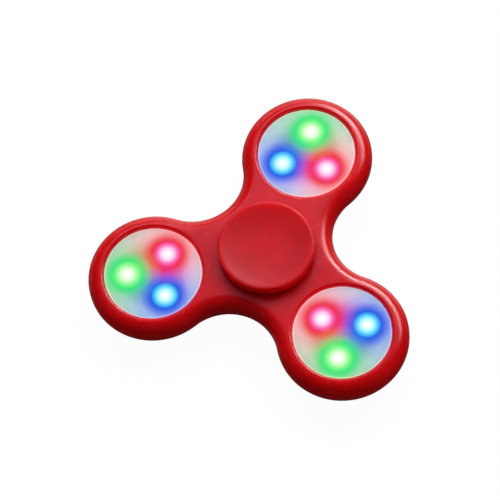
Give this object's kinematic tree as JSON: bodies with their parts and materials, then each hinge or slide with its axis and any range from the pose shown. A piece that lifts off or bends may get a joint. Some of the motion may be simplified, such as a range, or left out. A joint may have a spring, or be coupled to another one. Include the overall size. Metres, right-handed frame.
{
  "type": "fidget spinner",
  "caption": "Three-lobed finger spinner: a rounded red body on a ball bearing with dished finger caps, and a round milky lens over lit coloured LEDs in each lobe.",
  "frame": {"origin": "middle of the bearing, on the spin axis, half way through the body's thickness", "axes": "+Z along the spin axis towards the lenses and the top cap; +Y towards the first lobe"},
  "size_m": [0.0804, 0.074, 0.0142],
  "materials": {
    "frame_red": "satin gloss moulded",
    "cap_red": "fine spark-eroded grain",
    "lens_milky": "translucent frosted",
    "housing_white": "satin",
    "bearing_steel": "ground and polished",
    "shield_steel": "pressed sheet",
    "cage_brass": "pressed ribbon",
    "board_green": "solder mask",
    "chip_black": "epoxy resin",
    "button_white": "moulded",
    "contact_brass": "stamped strip",
    "cell_steel": "nickel plated can",
    "led_green": "lit resin",
    "led_blue": "lit resin",
    "led_red": "lit resin"
  },
  "bodies": {
    "hub": {"top_cap": "cap_red", "bottom_cap": "cap_red", "bearing_inner_race": "bearing_steel"},
    "rotor": {"frame": "frame_red", "bearing_outer_race": "bearing_steel", "bearing_shield_top": "shield_steel", "bearing_shield_bottom": "shield_steel", "light_housing_1": "housing_white", "circuit_board_1": "board_green", "lens_1": "lens_milky", "controller_1": "chip_black", "switch_body_1": "chip_black", "contact_bridge_1": "contact_brass", "contact_return_1": "contact_brass", "led_green_1": "led_green", "led_blue_1": "led_blue", "led_red_1": "led_red", "light_housing_2": "housing_white", "circuit_board_2": "board_green", "lens_2": "lens_milky", "controller_2": "chip_black", "switch_body_2": "chip_black", "contact_bridge_2": "contact_brass", "contact_return_2": "contact_brass", "led_green_2": "led_green", "led_blue_2": "led_blue", "led_red_2": "led_red", "light_housing_3": "housing_white", "circuit_board_3": "board_green", "lens_3": "lens_milky", "controller_3": "chip_black", "switch_body_3": "chip_black", "contact_bridge_3": "contact_brass", "contact_return_3": "contact_brass", "led_green_3": "led_green", "led_blue_3": "led_blue", "led_red_3": "led_red", "button_cell_1a": "cell_steel", "button_cell_1b": "cell_steel", "button_cell_1c": "cell_steel", "button_cell_2a": "cell_steel", "button_cell_2b": "cell_steel", "button_cell_2c": "cell_steel", "button_cell_3a": "cell_steel", "button_cell_3b": "cell_steel", "button_cell_3c": "cell_steel"},
    "ball_cage": {"bearing_cage": "cage_brass"},
    "ball_1": {"bearing_ball_1": "bearing_steel"},
    "ball_2": {"bearing_ball_2": "bearing_steel"},
    "ball_3": {"bearing_ball_3": "bearing_steel"},
    "ball_4": {"bearing_ball_4": "bearing_steel"},
    "ball_5": {"bearing_ball_5": "bearing_steel"},
    "ball_6": {"bearing_ball_6": "bearing_steel"},
    "ball_7": {"bearing_ball_7": "bearing_steel"},
    "button_1": {"push_button_1": "button_white", "switch_plunger_1": "button_white"},
    "button_2": {"push_button_2": "button_white", "switch_plunger_2": "button_white"},
    "button_3": {"push_button_3": "button_white", "switch_plunger_3": "button_white"}
  },
  "joints": [
    {"name": "rotor_spin", "type": "hinge", "parent": "hub", "child": "rotor", "pos_m": [0, 0, 0], "axis": [0, 0, 1], "continuous": true},
    {"name": "cage_orbit", "type": "hinge", "parent": "hub", "child": "ball_cage", "pos_m": [0, 0, 0], "axis": [0, 0, 1], "continuous": true},
    {"name": "ball_1_roll", "type": "hinge", "parent": "ball_cage", "child": "ball_1", "pos_m": [0.0075, 0, 0], "axis": [0, 0, 1], "continuous": true},
    {"name": "ball_2_roll", "type": "hinge", "parent": "ball_cage", "child": "ball_2", "pos_m": [0.00468, 0.00586, 0], "axis": [0, 0, 1], "continuous": true},
    {"name": "ball_3_roll", "type": "hinge", "parent": "ball_cage", "child": "ball_3", "pos_m": [-0.00167, 0.00731, 0], "axis": [0, 0, 1], "continuous": true},
    {"name": "ball_4_roll", "type": "hinge", "parent": "ball_cage", "child": "ball_4", "pos_m": [-0.00676, 0.00325, 0], "axis": [0, 0, 1], "continuous": true},
    {"name": "ball_5_roll", "type": "hinge", "parent": "ball_cage", "child": "ball_5", "pos_m": [-0.00676, -0.00325, 0], "axis": [0, 0, 1], "continuous": true},
    {"name": "ball_6_roll", "type": "hinge", "parent": "ball_cage", "child": "ball_6", "pos_m": [-0.00167, -0.00731, 0], "axis": [0, 0, 1], "continuous": true},
    {"name": "ball_7_roll", "type": "hinge", "parent": "ball_cage", "child": "ball_7", "pos_m": [0.00468, -0.00586, 0], "axis": [0, 0, 1], "continuous": true},
    {"name": "button_1_press", "type": "slide", "parent": "rotor", "child": "button_1", "axis": [0, 0, 1], "range_m": [0, 0.00025], "stiffness_N_per_m": 2000, "springref_m": -0.0002},
    {"name": "button_2_press", "type": "slide", "parent": "rotor", "child": "button_2", "axis": [0, 0, 1], "range_m": [0, 0.00025], "stiffness_N_per_m": 2000, "springref_m": -0.0002},
    {"name": "button_3_press", "type": "slide", "parent": "rotor", "child": "button_3", "axis": [0, 0, 1], "range_m": [0, 0.00025], "stiffness_N_per_m": 2000, "springref_m": -0.0002}
  ],
  "couplings": [
    {"joint": "cage_orbit", "follows": "rotor_spin", "ratio": 0.63227},
    {"joint": "ball_1_roll", "follows": "rotor_spin", "ratio": 1.7578},
    {"joint": "ball_2_roll", "follows": "rotor_spin", "ratio": 1.7578},
    {"joint": "ball_3_roll", "follows": "rotor_spin", "ratio": 1.7578},
    {"joint": "ball_4_roll", "follows": "rotor_spin", "ratio": 1.7578},
    {"joint": "ball_5_roll", "follows": "rotor_spin", "ratio": 1.7578},
    {"joint": "ball_6_roll", "follows": "rotor_spin", "ratio": 1.7578},
    {"joint": "ball_7_roll", "follows": "rotor_spin", "ratio": 1.7578}
  ]
}
